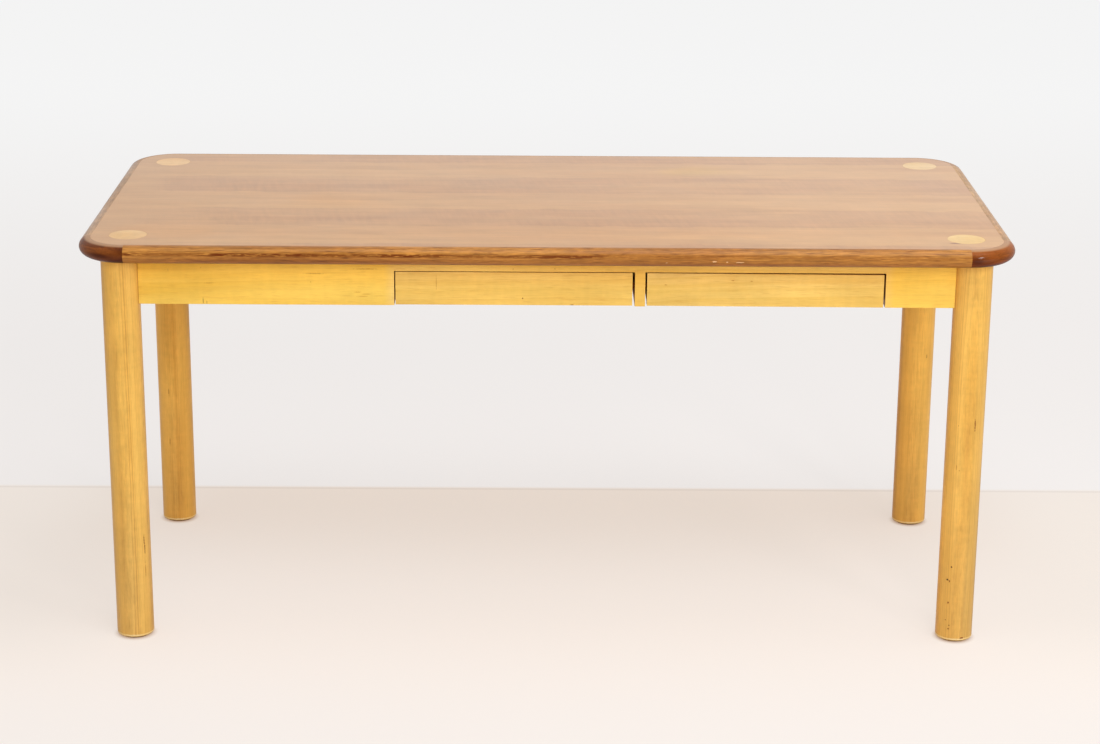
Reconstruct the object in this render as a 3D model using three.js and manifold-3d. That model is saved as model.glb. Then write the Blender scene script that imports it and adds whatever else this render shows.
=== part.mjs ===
// A writing desk: a thick veneered top with solid rounded edges, four round legs joined by aprons,
// and two shallow drawers without pulls that slide in notches of the front apron.
// Millimetres, +X to the sitter's right, -Y towards the sitter, +Z up; the origin is on the floor,
// under the middle of the desk.
import * as THREE from "three";
import { mergeVertices } from "three/addons/utils/BufferGeometryUtils.js";
import Module from "manifold-3d";

// Overall size
const tableLength = 1600;
const tableDepth = 746;
const tableHeight = 730;

// Top: panel, lippings, corner blocks and inlaid discs
const topThickness = 31;
const cornerRadius = 86;
const lippingWidth = 20;
const noseDepth = 18.5;
const inlayDiameter = 65;
const inlayThickness = 6;
const inlayFromEnd = 83;
const inlayFromFront = 89;

// Legs and glides
const legDiameter = 65;
const legFromEnd = 68.5;
const legFromFront = 79;
const footChamfer = 2;
const glideDiameter = 52;
const glideThickness = 3;
const glideEdge = 0.8;
const glideStemDiameter = 8;
const glideStemLength = 14;

// Aprons and their stub tenons
const apronThickness = 20;
const apronHeight = 86;
const tenonThickness = 10;
const tenonLength = 15;
const tenonShoulder = 12;
const buttonGrooveWidth = 7;
const buttonGrooveDepth = 7;
const buttonGrooveFromTop = 12;

// Buttons that hold the top down on the aprons
const buttonLength = 30;
const buttonReach = 28;
const buttonTongue = 6;

// Corner braces and the bolts that draw the legs in
const braceThickness = 28;
const braceHeight = 58;
const boltDiameter = 8;
const boltInLeg = 30;
const boltBeyondNut = 5;
const nutAcrossFlats = 13;
const nutThickness = 6.5;
const washerDiameter = 24;
const washerThickness = 2;

// Notches of the front apron, measured in from the axes of the legs, and the stile between them;
// the boards behind them are as thick as the stile is wide
const railHeight = 25.5;
const notchFromLeftLeg = 469.5;
const notchFromRightLeg = 151.5;
const stileWidth = 18;

// Drawers: the room left behind them, and how much of one stays in when it is fully open
const drawerRearRoom = 68;
const drawerHeldIn = 140;
const drawerTopGap = 1.2;
const drawerEndGap = 3;
const drawerFrontRise = 1.5;
const leftDrawerShift = -1;
const rightDrawerShift = 0;
const frontThickness = 18;
const sideThickness = 12;
const sideBelowFrontTop = 2.5;
const sideAboveFrontBottom = 3;
const backThickness = 12;
const bottomThickness = 5;
const bottomAboveSideEdge = 7;
const bottomGrooveDepth = 5;
const frontLap = 5;
const tailWidth = 16;
const tailEdge = 6;
const tailSlopeShare = 1 / 6;

// Runners that the grooved drawer sides slide on, and the blocks that stop the drawers
const runnerHeight = 9.4;
const runnerThickness = 7;
const runnerGrooveDepth = 6;
const runnerFromFront = 4;
const stopBlockLength = 20;
const stopBlockWidth = 16;
const stopBlockHeight = 30;
const hangStopWidth = 40;
const hangStopThickness = 20;
const hangStopBelowBackTop = 10;

// Clearance between pieces that are shaped to each other, and overrun of a cut past a face
const fitGap = 0.3;
const overrun = 1;

// Counts
const arcSteps = 12;
const noseSteps = 9;
const roundSteps = 48;
const boltSteps = 16;
const nutSides = 6;
const tailCount = 2;

// Where the buttons sit along the long aprons, as shares of the table's length
const buttonPlaceShares = [-0.27, 0.25];

// Heights and planes worked out from the sizes above
const underTop = tableHeight - topThickness;
const apronBottom = underTop - apronHeight;
const legX = tableLength / 2 - legFromEnd;
const legY = tableDepth / 2 - legFromFront;
const apronFaceY = legY + apronThickness / 2;
const apronInnerY = legY - apronThickness / 2;
const tenonHeight = apronHeight - 2 * tenonShoulder;
const notchLength = (2 * legX - notchFromLeftLeg - notchFromRightLeg - stileWidth) / 2;
const stileMiddle = legX - notchFromRightLeg - notchLength - stileWidth / 2;
const drawerDepth = apronFaceY + apronInnerY - drawerRearRoom;
const drawerTravel = drawerDepth - drawerHeldIn;
const drawerFrontTop = underTop - railHeight - drawerTopGap;
const drawerFrontBottom = apronBottom + drawerFrontRise;
const drawerFrontHeight = drawerFrontTop - drawerFrontBottom;
const drawerFrontLength = notchLength - 2 * drawerEndGap;
const sideHeight = drawerFrontHeight - sideBelowFrontTop - sideAboveFrontBottom;
const grooveCentre = sideHeight / 2;

// Materials
const wood = (name, color, roughness) =>
  new THREE.MeshStandardMaterial({ name, color, roughness, metalness: 0 });
const topVeneer = wood("top_veneer", 0xb57a52, 0.35);
const lippingWood = wood("lipping_wood", 0x9c5a2c, 0.35);
const cornerWood = wood("corner_wood", 0x6e3319, 0.3);
const inlayWood = wood("inlay_wood", 0xe3bd85, 0.4);
const legMaple = wood("leg_maple", 0xd9a45c, 0.45);
const apronMaple = wood("apron_maple", 0xe3ad4c, 0.45);
const drawerMaple = wood("drawer_maple", 0xe4b26c, 0.45);
const drawerBox = wood("drawer_box", 0xe2c596, 0.6);
const plywood = wood("plywood", 0xd2ab74, 0.65);
const glidePlastic = wood("glide_plastic", 0x2b2622, 0.6);
const steel = new THREE.MeshStandardMaterial({
  name: "steel",
  color: 0xb4b6b8,
  roughness: 0.4,
  metalness: 1,
});

const wasm = await Module();
wasm.setup();

// A three.js geometry as a manifold-3d solid
function solidOf(geometry) {
  const bare = geometry.clone();
  bare.deleteAttribute("normal");
  bare.deleteAttribute("uv");
  const merged = mergeVertices(bare);
  return new wasm.Manifold(
    new wasm.Mesh({
      numProp: 3,
      vertProperties: new Float32Array(merged.attributes.position.array),
      triVerts: new Uint32Array(merged.index.array),
    }),
  );
}

// A manifold-3d solid as a three.js geometry with flat faces
function geometryOf(solid) {
  const mesh = solid.getMesh();
  const indexed = new THREE.BufferGeometry();
  indexed.setAttribute("position", new THREE.BufferAttribute(mesh.vertProperties, mesh.numProp));
  indexed.setIndex(new THREE.BufferAttribute(mesh.triVerts, 1));
  const flat = indexed.toNonIndexed();
  flat.computeVertexNormals();
  return flat;
}

function cut(geometry, tools) {
  return geometryOf(tools.reduce((solid, tool) => solid.subtract(solidOf(tool)), solidOf(geometry)));
}

function join(geometry, additions) {
  return geometryOf(additions.reduce((solid, part) => solid.add(solidOf(part)), solidOf(geometry)));
}

// A box from its lowest to its highest corner
function boxBetween(low, high) {
  const size = high.map((value, axis) => value - low[axis]);
  const centre = high.map((value, axis) => (value + low[axis]) / 2);
  return new THREE.BoxGeometry(...size).translate(...centre);
}

// An upright cylinder from one height to another
function cylinderBetween(radius, low, high, steps) {
  return new THREE.CylinderGeometry(radius, radius, high - low, steps)
    .rotateX(Math.PI / 2)
    .translate(0, 0, (low + high) / 2);
}

// An outline given as [across, up] pairs, drawn out along X
function alongX(outline, from, to) {
  const shape = new THREE.Shape(outline.map(([across, up]) => new THREE.Vector2(across, up)));
  return new THREE.ExtrudeGeometry(shape, { depth: to - from, bevelEnabled: false, steps: 1 })
    .rotateX(Math.PI / 2)
    .rotateZ(Math.PI / 2)
    .translate(from, 0, 0);
}

function piece(group, name, geometry, material, place = [0, 0, 0]) {
  const mesh = new THREE.Mesh(geometry, material);
  mesh.name = name;
  mesh.position.set(...place);
  group.add(mesh);
  return mesh;
}

function groupIn(parent, place = [0, 0, 0]) {
  const group = new THREE.Group();
  group.position.set(...place);
  parent.add(group);
  return group;
}

// The four corners in turn, each a quarter turn on from the last, starting at the front left
const corners = [
  { name: "front_left", x: -1, y: -1 },
  { name: "front_right", x: 1, y: -1 },
  { name: "back_right", x: 1, y: 1 },
  { name: "back_left", x: -1, y: 1 },
];

// The section of the solid edge: flat inside, with a half-round nose outside, as [out, up] pairs
// measured from the glue line and the underside
function edgeSection() {
  const flat = lippingWidth - noseDepth;
  const half = topThickness / 2;
  const outline = [[0, topThickness], [0, 0]];
  for (let step = 0; step <= 2 * noseSteps; step += 1) {
    const angle = (step / (2 * noseSteps) - 0.5) * Math.PI;
    outline.push([flat + noseDepth * Math.cos(angle), half + half * Math.sin(angle)]);
  }
  return outline;
}

// The veneered panel: its corners follow the corner blocks, and it is drilled for the discs
function topPanel() {
  const x = tableLength / 2 - lippingWidth;
  const y = tableDepth / 2 - lippingWidth;
  const centreX = tableLength / 2 - cornerRadius;
  const centreY = tableDepth / 2 - cornerRadius;
  const radius = cornerRadius - lippingWidth - fitGap;
  const outline = [];
  corners.forEach((corner, turn) => {
    const straight = [[corner.x * x, corner.y * centreY], [corner.x * centreX, corner.y * y]];
    if (turn % 2) straight.reverse();
    const arc = [];
    for (let step = 0; step <= arcSteps; step += 1) {
      const angle = Math.PI + (turn + step / arcSteps) * (Math.PI / 2);
      arc.push([
        corner.x * centreX + radius * Math.cos(angle),
        corner.y * centreY + radius * Math.sin(angle),
      ]);
    }
    outline.push(straight[0], ...arc, straight[1]);
  });
  const shape = new THREE.Shape(outline.map(([across, deep]) => new THREE.Vector2(across, deep)));
  const slab = new THREE.ExtrudeGeometry(shape, { depth: topThickness, bevelEnabled: false, steps: 1 });
  const seat = cylinderBetween(
    inlayDiameter / 2 + fitGap,
    topThickness - inlayThickness,
    topThickness + overrun,
    roundSteps,
  );
  const seats = corners.map((corner) =>
    seat
      .clone()
      .translate(
        corner.x * (tableLength / 2 - inlayFromEnd),
        corner.y * (tableDepth / 2 - inlayFromFront),
        0,
      ),
  );
  return cut(slab, seats);
}

// A quarter ring with the edge's section, for the front left corner, about its centre
function cornerBlock() {
  const inner = cornerRadius - lippingWidth;
  const outline = edgeSection().map(([out, up]) => new THREE.Vector2(inner + out, up));
  outline.push(outline[0].clone());
  const ring = new THREE.LatheGeometry(outline, 4 * arcSteps).rotateX(Math.PI / 2);
  const reach = cornerRadius + overrun;
  const quarter = boxBetween([-reach, -reach, -overrun], [0, 0, topThickness + overrun]);
  return geometryOf(solidOf(ring).intersect(solidOf(quarter)));
}

function addTop(parent) {
  const top = groupIn(parent, [0, 0, underTop]);
  piece(top, "top_panel", topPanel(), topVeneer);

  const longReach = tableLength / 2 - cornerRadius;
  const shortReach = tableDepth / 2 - cornerRadius;
  const longEdge = alongX(edgeSection(), -longReach, longReach);
  const shortEdge = alongX(edgeSection(), -shortReach, shortReach);
  const edgeY = tableDepth / 2 - lippingWidth;
  const edgeX = tableLength / 2 - lippingWidth;
  piece(top, "back_lipping", longEdge, lippingWood, [0, edgeY, 0]);
  piece(top, "front_lipping", longEdge.clone().rotateZ(Math.PI), lippingWood, [0, -edgeY, 0]);
  piece(top, "left_lipping", shortEdge.clone().rotateZ(Math.PI / 2), lippingWood, [-edgeX, 0, 0]);
  piece(top, "right_lipping", shortEdge.clone().rotateZ(-Math.PI / 2), lippingWood, [edgeX, 0, 0]);

  const block = cornerBlock();
  const disc = cylinderBetween(inlayDiameter / 2, 0, inlayThickness, roundSteps);
  corners.forEach((corner, turn) => {
    const centre = [corner.x * longReach, corner.y * shortReach, 0];
    const made = piece(top, `${corner.name}_corner_block`, block, cornerWood, centre);
    made.rotation.z = (turn * Math.PI) / 2;
    piece(top, `${corner.name}_inlay_disc`, disc, inlayWood, [
      corner.x * (tableLength / 2 - inlayFromEnd),
      corner.y * (tableDepth / 2 - inlayFromFront),
      topThickness - inlayThickness,
    ]);
  });
}

// A round leg, about its own axis, with a mortise towards each apron of the front left corner,
// a bore for the bolt on the diagonal and one for the stem of its glide
function leg() {
  const radius = legDiameter / 2;
  const outline = [
    [0, glideThickness],
    [radius - footChamfer, glideThickness],
    [radius, glideThickness + footChamfer],
    [radius, underTop],
    [0, underTop],
  ].map(([out, up]) => new THREE.Vector2(out, up));
  const post = new THREE.LatheGeometry(outline, roundSteps).rotateX(Math.PI / 2);
  const halfSlot = tenonThickness / 2 + fitGap;
  const deep = apronEnd() - tenonLength - fitGap;
  const low = apronBottom + tenonShoulder - fitGap;
  const high = low + tenonHeight + 2 * fitGap;
  const mortise = boxBetween([deep, -halfSlot, low], [radius + overrun, halfSlot, high]);
  const boltBore = cylinderBetween(
    boltDiameter / 2 + fitGap,
    radius - boltInLeg - fitGap,
    radius + overrun,
    boltSteps,
  )
    .rotateY(Math.PI / 2)
    .rotateZ(Math.PI / 4)
    .translate(0, 0, apronBottom + apronHeight / 2);
  const stemBore = cylinderBetween(
    glideStemDiameter / 2 + fitGap,
    glideThickness - overrun,
    glideThickness + glideStemLength + fitGap,
    boltSteps,
  );
  return cut(post, [mortise, mortise.clone().rotateZ(Math.PI / 2), boltBore, stemBore]);
}

// How far from a leg's axis the corner of an apron's end meets the round of the leg
function apronEnd() {
  return Math.sqrt((legDiameter / 2) ** 2 - (apronThickness / 2) ** 2);
}

// A foot glide: a low disc with a stem that is driven into the leg
function glide() {
  const radius = glideDiameter / 2;
  const outline = [
    [0, 0],
    [radius - glideEdge, 0],
    [radius, glideEdge],
    [radius, glideThickness],
    [glideStemDiameter / 2, glideThickness],
    [glideStemDiameter / 2, glideThickness + glideStemLength],
    [0, glideThickness + glideStemLength],
  ].map(([out, up]) => new THREE.Vector2(out, up));
  return new THREE.LatheGeometry(outline, roundSteps / 2).rotateX(Math.PI / 2);
}

// An apron between two legs, lying along X about its own middle, its ends scooped to the legs
// and drawn out as stub tenons, with a groove for the buttons in its +Y face
function apron(legSpan) {
  const halfSpan = legSpan / 2;
  const half = apronThickness / 2;
  const board = boxBetween([-halfSpan, -half, apronBottom], [halfSpan, half, underTop]);
  const scoop = cylinderBetween(
    legDiameter / 2 + fitGap,
    apronBottom - overrun,
    underTop + overrun,
    roundSteps,
  );
  const grooveTop = underTop - buttonGrooveFromTop;
  const groove = boxBetween(
    [-halfSpan, half - buttonGrooveDepth, grooveTop - buttonGrooveWidth],
    [halfSpan, half + overrun, grooveTop],
  );
  const scooped = cut(board, [
    scoop.clone().translate(-halfSpan, 0, 0),
    scoop.clone().translate(halfSpan, 0, 0),
    groove,
  ]);
  const tenonEnd = halfSpan - apronEnd() + tenonLength;
  const root = halfSpan - legDiameter / 2 - apronThickness;
  const tenon = boxBetween(
    [root, -tenonThickness / 2, apronBottom + tenonShoulder],
    [tenonEnd, tenonThickness / 2, apronBottom + tenonShoulder + tenonHeight],
  );
  return join(scooped, [tenon, tenon.clone().rotateZ(Math.PI)]);
}

// The middle of each drawer's notch along X
const notchMiddle = {
  left: stileMiddle - stileWidth / 2 - notchLength / 2,
  right: stileMiddle + stileWidth / 2 + notchLength / 2,
};

function frontApron() {
  const notch = boxBetween(
    [-notchLength / 2, -apronThickness / 2 - overrun, apronBottom - overrun],
    [notchLength / 2, apronThickness / 2 + overrun, underTop - railHeight],
  );
  const notches = Object.values(notchMiddle).map((middle) => notch.clone().translate(middle, 0, 0));
  return cut(apron(2 * legX), notches);
}

// A brace across a corner, about the leg's axis, for the front left corner: its outer face stands
// off the leg by the clearance, and its ends are mitred to the aprons
function cornerBrace() {
  const near = (legDiameter / 2 + fitGap) * Math.SQRT2;
  const far = near + braceThickness * Math.SQRT2;
  const face = apronThickness / 2 + fitGap;
  const outline = [
    [face, near - face],
    [near - face, face],
    [far - face, face],
    [face, far - face],
  ];
  const shape = new THREE.Shape(outline.map(([across, deep]) => new THREE.Vector2(across, deep)));
  const low = apronBottom + (apronHeight - braceHeight) / 2;
  const block = new THREE.ExtrudeGeometry(shape, {
    depth: braceHeight,
    bevelEnabled: false,
    steps: 1,
  }).translate(0, 0, low);
  const bore = cylinderBetween(
    boltDiameter / 2 + fitGap,
    legDiameter / 2 - overrun,
    legDiameter / 2 + braceThickness + 2 * overrun,
    boltSteps,
  )
    .rotateY(Math.PI / 2)
    .rotateZ(Math.PI / 4)
    .translate(0, 0, low + braceHeight / 2);
  return cut(block, [bore]);
}

// The bolt of a leg with its washer and nut, standing upright from the leg's axis
function legBolt() {
  const surface = legDiameter / 2;
  const nutSeat = surface + 2 * fitGap + braceThickness + washerThickness;
  const rod = cylinderBetween(
    boltDiameter / 2,
    surface - boltInLeg,
    nutSeat + nutThickness + boltBeyondNut,
    boltSteps,
  );
  const washer = cylinderBetween(washerDiameter / 2, nutSeat - washerThickness, nutSeat, boltSteps);
  const nutRadius = nutAcrossFlats / Math.sqrt(3);
  const nut = cylinderBetween(nutRadius, nutSeat, nutSeat + nutThickness, nutSides);
  return join(rod, [washer, nut]);
}

// A button, along X about its own middle: its tongue sits in the groove of the apron at -Y
function topButton() {
  const grooveTop = underTop - buttonGrooveFromTop;
  const low = grooveTop - buttonGrooveWidth + fitGap;
  const outline = [
    [-buttonTongue, low],
    [buttonReach, low],
    [buttonReach, underTop],
    [fitGap, underTop],
    [fitGap, grooveTop - fitGap],
    [-buttonTongue, grooveTop - fitGap],
  ];
  return alongX(outline, -buttonLength / 2, buttonLength / 2);
}

function addFrame(parent) {
  const frame = groupIn(parent);
  const post = leg();
  const foot = glide();
  const brace = cornerBrace();
  const bolt = legBolt();
  corners.forEach((corner, turn) => {
    const place = groupIn(frame, [corner.x * legX, corner.y * legY, 0]);
    place.rotation.z = (turn * Math.PI) / 2;
    piece(place, `${corner.name}_leg`, post, legMaple);
    piece(place, `${corner.name}_glide`, foot, glidePlastic);
    piece(place, `${corner.name}_corner_brace`, brace, drawerBox);
    const diagonal = groupIn(place, [0, 0, apronBottom + apronHeight / 2]);
    diagonal.rotation.z = Math.PI / 4;
    piece(diagonal, `${corner.name}_leg_bolt`, bolt, steel).rotation.y = Math.PI / 2;
  });

  piece(frame, "front_apron", frontApron(), apronMaple, [0, -legY, 0]);
  piece(frame, "back_apron", apron(2 * legX), apronMaple, [0, legY, 0]).rotation.z = Math.PI;
  const sideApron = apron(2 * legY);
  piece(frame, "left_apron", sideApron, apronMaple, [-legX, 0, 0]).rotation.z = -Math.PI / 2;
  piece(frame, "right_apron", sideApron, apronMaple, [legX, 0, 0]).rotation.z = Math.PI / 2;

  const button = topButton();
  buttonPlaceShares.forEach((share, index) => {
    const x = share * tableLength;
    piece(frame, `front_button_${index + 1}`, button, drawerBox, [x, -apronInnerY, 0]);
    piece(frame, `back_button_${index + 1}`, button, drawerBox, [x, apronInnerY, 0]).rotation.z = Math.PI;
  });
  const endX = legX - apronThickness / 2;
  piece(frame, "left_button", button, drawerBox, [-endX, 0, 0]).rotation.z = -Math.PI / 2;
  piece(frame, "right_button", button, drawerBox, [endX, 0, 0]).rotation.z = Math.PI / 2;
}

// The boards behind the front apron that carry the runners, from apron to apron
function addGuides(parent) {
  const guides = groupIn(parent);
  const board = boxBetween(
    [-stileWidth / 2, -apronInnerY, apronBottom],
    [stileWidth / 2, apronInnerY, underTop],
  );
  const step = stileWidth + notchLength;
  piece(guides, "left_guide_board", board, drawerBox, [stileMiddle - step, 0, 0]);
  piece(guides, "centre_divider", board, drawerBox, [stileMiddle, 0, 0]);
  piece(guides, "right_guide_board", board, drawerBox, [stileMiddle + step, 0, 0]);

  const sideBottom = drawerFrontBottom + sideAboveFrontBottom;
  const runnerMiddle = sideBottom + grooveCentre;
  const rearEnd = drawerDepth - apronFaceY;
  const runner = boxBetween(
    [0, -apronInnerY + runnerFromFront, runnerMiddle - runnerHeight / 2],
    [runnerThickness, rearEnd - runnerFromFront, runnerMiddle + runnerHeight / 2],
  );
  const stop = boxBetween(
    [0, rearEnd + fitGap, runnerMiddle - stopBlockHeight / 2],
    [stopBlockWidth, rearEnd + fitGap + stopBlockLength, runnerMiddle + stopBlockHeight / 2],
  );
  const backTop = sideBottom + sideHeight;
  const backFace = rearEnd - backThickness - drawerTravel;
  const hangStop = boxBetween(
    [-hangStopWidth / 2, backFace - fitGap - hangStopThickness, backTop - hangStopBelowBackTop],
    [hangStopWidth / 2, backFace - fitGap, underTop],
  );
  Object.entries(notchMiddle).forEach(([hand, middle]) => {
    const low = middle - notchLength / 2;
    const high = middle + notchLength / 2;
    piece(guides, `${hand}_drawer_left_runner`, runner, drawerBox, [low, 0, 0]);
    piece(guides, `${hand}_drawer_right_runner`, runner, drawerBox, [high - runnerThickness, 0, 0]);
    piece(guides, `${hand}_drawer_rear_stop`, stop, drawerBox, [low, 0, 0]);
    piece(guides, `${hand}_drawer_hanging_stop`, hangStop, drawerBox, [middle, 0, 0]);
  });
}

// The middles of the dovetails above a side's lower edge
function tailMiddles() {
  const span = sideHeight - 2 * tailEdge - tailWidth;
  return Array.from({ length: tailCount }, (_, index) =>
    tailEdge + tailWidth / 2 + (span * index) / (tailCount - 1),
  );
}

// A dovetail as [forward, up] pairs, from its root to its tip; swell widens it for its socket
function tailOutline(middle, swell) {
  const tailLength = frontThickness - frontLap - fitGap;
  const tip = tailLength + swell;
  const tipHalf = tailWidth / 2 + swell;
  const rootHalf = tipHalf - tip * tailSlopeShare;
  return [
    [0, middle - rootHalf],
    [tip, middle - tipHalf],
    [tip, middle + tipHalf],
    [0, middle + rootHalf],
  ];
}

// A drawer side for the left of a drawer, from its outer face to +X, its tails towards -Y;
// its length runs from the front's inner face, and it is grooved outside for the runner
// and inside for the bottom
function drawerSide() {
  const length = drawerDepth - frontThickness;
  const outline = [[length, 0], [length, sideHeight], [0, sideHeight]];
  const tails = tailMiddles().reverse();
  tails.forEach((middle) => {
    tailOutline(middle, 0)
      .reverse()
      .forEach(([forward, up]) => outline.push([-forward, up]));
  });
  outline.push([0, 0]);
  const board = alongX(outline.reverse(), 0, sideThickness);
  const runnerGroove = boxBetween(
    [-overrun, -frontThickness, grooveCentre - runnerHeight / 2 - fitGap],
    [runnerGrooveDepth, length + overrun, grooveCentre + runnerHeight / 2 + fitGap],
  );
  const bottomGroove = boxBetween(
    [sideThickness - bottomGrooveDepth - fitGap, -frontThickness, bottomAboveSideEdge],
    [
      sideThickness + overrun,
      length + overrun,
      bottomAboveSideEdge + bottomThickness + fitGap,
    ],
  );
  return cut(board, [runnerGroove, bottomGroove]);
}

// A drawer front about its own middle along X, from its inner face to -Y and up from its lower edge
function drawerFront() {
  const half = drawerFrontLength / 2;
  const inside = half - sideThickness;
  const board = boxBetween([-half, -frontThickness, 0], [half, 0, drawerFrontHeight]);
  const sockets = tailMiddles().flatMap((middle) => {
    const outline = tailOutline(middle + sideAboveFrontBottom, fitGap)
      .map(([forward, up], index) => [index % 3 ? -forward : overrun, up])
      .reverse();
    return [alongX(outline, inside, half + overrun), alongX(outline, -half - overrun, -inside)];
  });
  const grooveReach = inside + bottomGrooveDepth + fitGap;
  const grooveLow = sideAboveFrontBottom + bottomAboveSideEdge;
  const groove = boxBetween(
    [-grooveReach, -bottomGrooveDepth - fitGap, grooveLow],
    [grooveReach, overrun, grooveLow + bottomThickness + fitGap],
  );
  return cut(board, [...sockets, groove]);
}

function addDrawer(parent, hand, shift) {
  const drawer = groupIn(parent, [
    notchMiddle[hand] + shift,
    -apronFaceY + frontThickness,
    drawerFrontBottom,
  ]);
  const half = drawerFrontLength / 2;
  const length = drawerDepth - frontThickness;
  const bottomLow = sideAboveFrontBottom + bottomAboveSideEdge;
  piece(drawer, `${hand}_drawer_front`, drawerFront(), drawerMaple);

  const side = drawerSide();
  const up = sideAboveFrontBottom;
  piece(drawer, `${hand}_drawer_left_side`, side, drawerBox, [-half, 0, up]);
  piece(drawer, `${hand}_drawer_right_side`, side, drawerBox, [half, 0, up]).scale.x = -1;

  const insideHalf = half - sideThickness;
  const back = boxBetween(
    [-insideHalf, length - backThickness, bottomLow + bottomThickness],
    [insideHalf, length, up + sideHeight],
  );
  piece(drawer, `${hand}_drawer_back`, back, drawerBox);
  const sheetHalf = insideHalf + bottomGrooveDepth;
  const sheet = boxBetween(
    [-sheetHalf, -bottomGrooveDepth, bottomLow],
    [sheetHalf, length, bottomLow + bottomThickness],
  );
  piece(drawer, `${hand}_drawer_bottom`, sheet, plywood);
}

const desk = new THREE.Group();
addTop(desk);
addFrame(desk);
addGuides(desk);
addDrawer(desk, "left", leftDrawerShift);
addDrawer(desk, "right", rightDrawerShift);

export default desk;
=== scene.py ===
import random
from functools import partialmethod
from math import copysign, cos, pi, radians, sin, sqrt

import bmesh
import bpy
from mathutils import Matrix, Vector


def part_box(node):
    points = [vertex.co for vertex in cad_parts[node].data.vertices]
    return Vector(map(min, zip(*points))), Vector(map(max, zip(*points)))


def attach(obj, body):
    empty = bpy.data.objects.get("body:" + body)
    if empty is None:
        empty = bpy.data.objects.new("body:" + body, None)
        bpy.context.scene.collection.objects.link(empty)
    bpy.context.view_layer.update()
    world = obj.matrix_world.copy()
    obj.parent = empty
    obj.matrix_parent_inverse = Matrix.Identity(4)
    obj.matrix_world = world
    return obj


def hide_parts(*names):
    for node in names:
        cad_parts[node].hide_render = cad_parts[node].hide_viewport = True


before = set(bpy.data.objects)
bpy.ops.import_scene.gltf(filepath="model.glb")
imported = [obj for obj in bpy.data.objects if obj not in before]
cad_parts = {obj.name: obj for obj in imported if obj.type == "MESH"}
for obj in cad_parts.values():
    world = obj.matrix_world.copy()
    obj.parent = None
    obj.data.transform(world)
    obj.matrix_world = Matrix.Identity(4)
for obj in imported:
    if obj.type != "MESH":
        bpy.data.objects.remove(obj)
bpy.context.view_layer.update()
scene = bpy.context.scene


# The four legs are round posts turned from solid maple and lacquered clear; the lacquer has yellowed.
# Each is mortised for the two aprons that meet in it and bored for its bolt and for the stem of its
# glide. The foot is rounded over, and years of shoes and brooms have nicked it.
corner_names = ("front_left", "front_right", "back_right", "back_left")
foot_round = 0.003
head_round = 0.0006
weld_distance = 5e-6
flat_angle = radians(0.5)
crease_angle = radians(50)
cut_angle = radians(30)


def span(node):
    """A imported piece's lowest and highest corners, and the middle between them."""
    low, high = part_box(node)
    return low, high, (low + high) / 2


def skin_of(node):
    """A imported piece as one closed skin, with each flat side in one face."""
    skin = bmesh.new()
    skin.from_mesh(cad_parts[node].data)
    bmesh.ops.remove_doubles(skin, verts=skin.verts, dist=weld_distance)
    bmesh.ops.dissolve_limit(skin, angle_limit=flat_angle, verts=skin.verts, edges=skin.edges)
    return skin


def arc(across, up, radius, start, end, steps):
    """Points of a round in a section, as (across, up) pairs, between two angles in degrees."""
    angles = [radians(start + (end - start) * step / steps) for step in range(steps + 1)]
    return [(across + radius * cos(angle), up + radius * sin(angle)) for angle in angles]


def lofted(rings, closed=False):
    """A skin drawn through rings of points, each with as many points or with one; the ends are capped."""
    skin = bmesh.new()
    rows = [[skin.verts.new(point) for point in ring] for ring in rings]
    for low, high in zip(rows, rows[1:] + rows[:1] if closed else rows[1:]):
        for step in range(max(len(low), len(high))):
            around = [low[step % len(low)], low[(step + 1) % len(low)]]
            around += [high[(step + 1) % len(high)], high[step % len(high)]]
            skin.faces.new(list(dict.fromkeys(around)))
    if not closed:
        for row in (rows[0][::-1], rows[-1]):
            if len(row) > 1:
                skin.faces.new(row)
    skin.normal_update()
    return skin


def turned(outline, centre=(0, 0), steps=96, closed=False):
    """A skin turned about an upright axis from (radius, height) pairs."""
    angles = [2 * pi * step / steps for step in range(steps)]
    x, y = centre
    rings = []
    for radius, height in outline:
        around = angles if radius else [0]
        rings.append([(x + radius * cos(a), y + radius * sin(a), height) for a in around])
    return lofted(rings, closed)


def mesh_of(skin, name="blank"):
    mesh = bpy.data.meshes.new(name)
    skin.to_mesh(mesh)
    skin.free()
    return mesh


def set_down(name, data):
    made = bpy.data.objects.new(name, data)
    scene.collection.objects.link(made)
    return made


def carved(skin, tools):
    """The skin with the tools' solids taken out of it."""
    blank, *cutters = [set_down("blank", mesh_of(each)) for each in (skin, *tools)]
    for cutter in cutters:
        step = blank.modifiers.new("cut", "BOOLEAN")
        step.operation = "DIFFERENCE"
        step.solver = "EXACT"
        step.object = cutter
    left = bmesh.new()
    left.from_object(blank, bpy.context.evaluated_depsgraph_get())
    for spent in [blank, *cutters]:
        bpy.data.meshes.remove(spent.data)
    return left


def eased(skin, width, steps=2, picked=lambda edge: True):
    """The skin with its sharp edges, or those that are picked, eased by a small round."""
    shared = [edge for edge in skin.edges if len(edge.link_faces) == 2]
    edges = [edge for edge in shared if edge.calc_face_angle() > cut_angle and picked(edge)]
    bmesh.ops.bevel(
        skin, geom=edges, offset=width, segments=steps, profile=0.5, affect="EDGES", clamp_overlap=True
    )
    return skin


def smoothed(mesh, finish, angle):
    """A mesh in its finish, shaded round but for its sharp edges."""
    mesh.materials.append(finish)
    mesh.shade_smooth()
    mesh.set_sharp_from_angle(angle=angle)
    return mesh


def show(name, skin, finish, slot, node, body="desk"):
    """Makes a skin into a finished piece that rides on its body and stands for its node."""
    piece = set_down(name, smoothed(mesh_of(skin, name), finish, crease_angle))
    piece.modifiers.new("normals", "WEIGHTED_NORMAL").keep_sharp = True
    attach(piece, body)
    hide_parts(node)


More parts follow.
